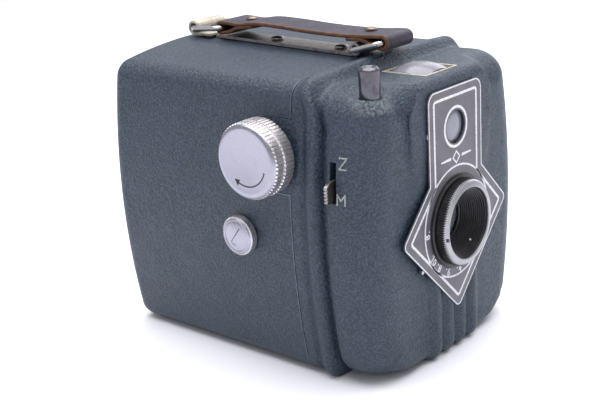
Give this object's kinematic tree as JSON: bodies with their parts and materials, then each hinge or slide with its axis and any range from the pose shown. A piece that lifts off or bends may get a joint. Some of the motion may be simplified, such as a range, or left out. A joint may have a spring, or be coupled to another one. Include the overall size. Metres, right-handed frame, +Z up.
{
  "type": "box camera",
  "caption": "Metal box camera with pull-out front, focusing lens, reflecting finder, winding knob, latch and leather strap handle.",
  "frame": {"origin": "on the flat underside of the body, below the middle of its depth and centred across its width", "axes": "+Z up, the lens points along -Y, +X to the right seen from the front"},
  "size_m": [0.0996, 0.1222, 0.1073],
  "materials": {
    "paint": "blue-grey wrinkle enamel",
    "black_paint": "matt black enamel",
    "bare_steel": "worn plated steel",
    "aluminium": "turned and knurled",
    "brass": "tarnished",
    "glass": "polished",
    "mirror": "silvered",
    "leather": "black grain with raw brown edges",
    "printed_plate": "gloss enamel with bare metal lines",
    "cream_metal": "worn cream plate",
    "red_filter": "clear deep red"
  },
  "bodies": {
    "shell": {"rear_shell": "paint", "pressure_plate": "black_paint", "pressure_spring": "bare_steel", "red_window": "red_filter", "window_rivet": "bare_steel", "handle_strip": "bare_steel", "strip_rivet_front": "bare_steel", "strip_rivet_rear": "bare_steel", "rear_eye": "cream_metal"},
    "front_unit": {"front_casing": "paint", "face_plate": "printed_plate", "lens_mount": "black_paint", "aperture_plate": "black_paint", "shutter_board": "black_paint", "shutter_pivot": "bare_steel", "button_spring": "bare_steel", "button_bracket": "bare_steel", "lever_pivot": "bare_steel", "finder_front_lens": "glass", "finder_box": "black_paint", "finder_mirror": "mirror", "finder_frame": "cream_metal", "finder_top_lens": "glass", "light_cone": "black_paint", "left_side_plate": "black_paint", "right_side_plate": "black_paint", "film_gate": "black_paint", "take_up_pin": "bare_steel", "supply_pin_right": "bare_steel", "supply_pin_left": "bare_steel"},
    "winder": {"winding_knob": "aluminium", "winding_shaft": "bare_steel", "take_up_spool": "black_paint"},
    "roller_up": {"upper_roller": "bare_steel"},
    "roller_down": {"lower_roller": "bare_steel"},
    "latch": {"latch_knob": "aluminium", "latch_cam": "bare_steel"},
    "cover": {"window_cover": "black_paint"},
    "lens_slide": {"lens_cell": "black_paint", "front_lens": "glass"},
    "focus": {"focus_ring": "black_paint"},
    "release": {"release_button": "bare_steel"},
    "crank": {"release_lever": "bare_steel"},
    "blade": {"shutter_blade": "bare_steel"},
    "time_switch": {"time_lever": "bare_steel"},
    "loop_rear": {"rear_loop": "bare_steel"},
    "strap": {"handle_strap": "leather", "strap_rivet_front": "brass", "strap_rivet_rear": "brass"},
    "loop_front": {"front_loop": "bare_steel"}
  },
  "joints": [
    {"name": "front_slide", "type": "slide", "parent": "shell", "child": "front_unit", "axis": [0, -1, 0], "range_m": [0, 0.085]},
    {"name": "winding", "type": "hinge", "parent": "front_unit", "child": "winder", "pos_m": [-0.049, -0.0172, 0.0739], "axis": [1, 0, 0], "continuous": true},
    {"name": "upper_roller_spin", "type": "hinge", "parent": "front_unit", "child": "roller_up", "pos_m": [0, 0.0383, 0.0854], "axis": [1, 0, 0], "continuous": true},
    {"name": "lower_roller_spin", "type": "hinge", "parent": "front_unit", "child": "roller_down", "pos_m": [0, 0.0383, 0.0076], "axis": [1, 0, 0], "continuous": true},
    {"name": "latch_turn", "type": "hinge", "parent": "shell", "child": "latch", "pos_m": [-0.046, -0.0047, 0.0458], "axis": [1, 0, 0], "range_deg": [0, 90]},
    {"name": "window_swing", "type": "hinge", "parent": "shell", "child": "cover", "pos_m": [0, 0.0582, 0.047], "axis": [0, 1, 0], "range_deg": [0, 80]},
    {"name": "focus_travel", "type": "slide", "parent": "front_unit", "child": "lens_slide", "axis": [0, -1, 0], "range_m": [0, 0.0018]},
    {"name": "focus_turn", "type": "hinge", "parent": "lens_slide", "child": "focus", "pos_m": [0, -0.0605, 0.046], "axis": [0, 1, 0], "range_deg": [0, 200.1]},
    {"name": "release_press", "type": "slide", "parent": "front_unit", "child": "release", "axis": [0, 0, -1], "range_m": [0, 0.004], "stiffness_N_per_m": 250, "springref_m": -0.002, "deforming": ["button_spring"]},
    {"name": "crank_turn", "type": "hinge", "parent": "front_unit", "child": "crank", "pos_m": [-0.016, -0.0482, 0.064], "axis": [0, -1, 0], "range_deg": [0, 16.51]},
    {"name": "blade_turn", "type": "hinge", "parent": "front_unit", "child": "blade", "pos_m": [0.012, -0.044, 0.036], "axis": [0, 1, 0], "range_deg": [0, 50.01]},
    {"name": "time_shift", "type": "slide", "parent": "front_unit", "child": "time_switch", "axis": [0, 0, 1], "range_m": [0, 0.005]},
    {"name": "handle_lift", "type": "hinge", "parent": "shell", "child": "loop_rear", "pos_m": [0, 0.0485, 0.1031], "axis": [-1, 0, 0], "range_deg": [0, 38]},
    {"name": "strap_tilt", "type": "hinge", "parent": "loop_rear", "child": "strap", "pos_m": [0, 0.0348, 0.1038], "axis": [-1, 0, 0], "range_deg": [-40.7, 0.5]},
    {"name": "front_loop_lift", "type": "hinge", "parent": "shell", "child": "loop_front", "pos_m": [0, -0.0229, 0.0998], "axis": [-1, 0, 0], "range_deg": [-0.5, 30.14]}
  ],
  "couplings": [
    {"joint": "focus_turn", "follows": "focus_travel", "rad_per_m": 1939.3},
    {"joint": "crank_turn", "follows": "release_press", "rad_per_m": 71.995},
    {"joint": "blade_turn", "follows": "release_press", "rad_per_m": 218.17},
    {"joint": "strap_tilt", "follows": "handle_lift", "ratio": -1.058},
    {"joint": "front_loop_lift", "follows": "handle_lift", "ratio": 0.78}
  ]
}
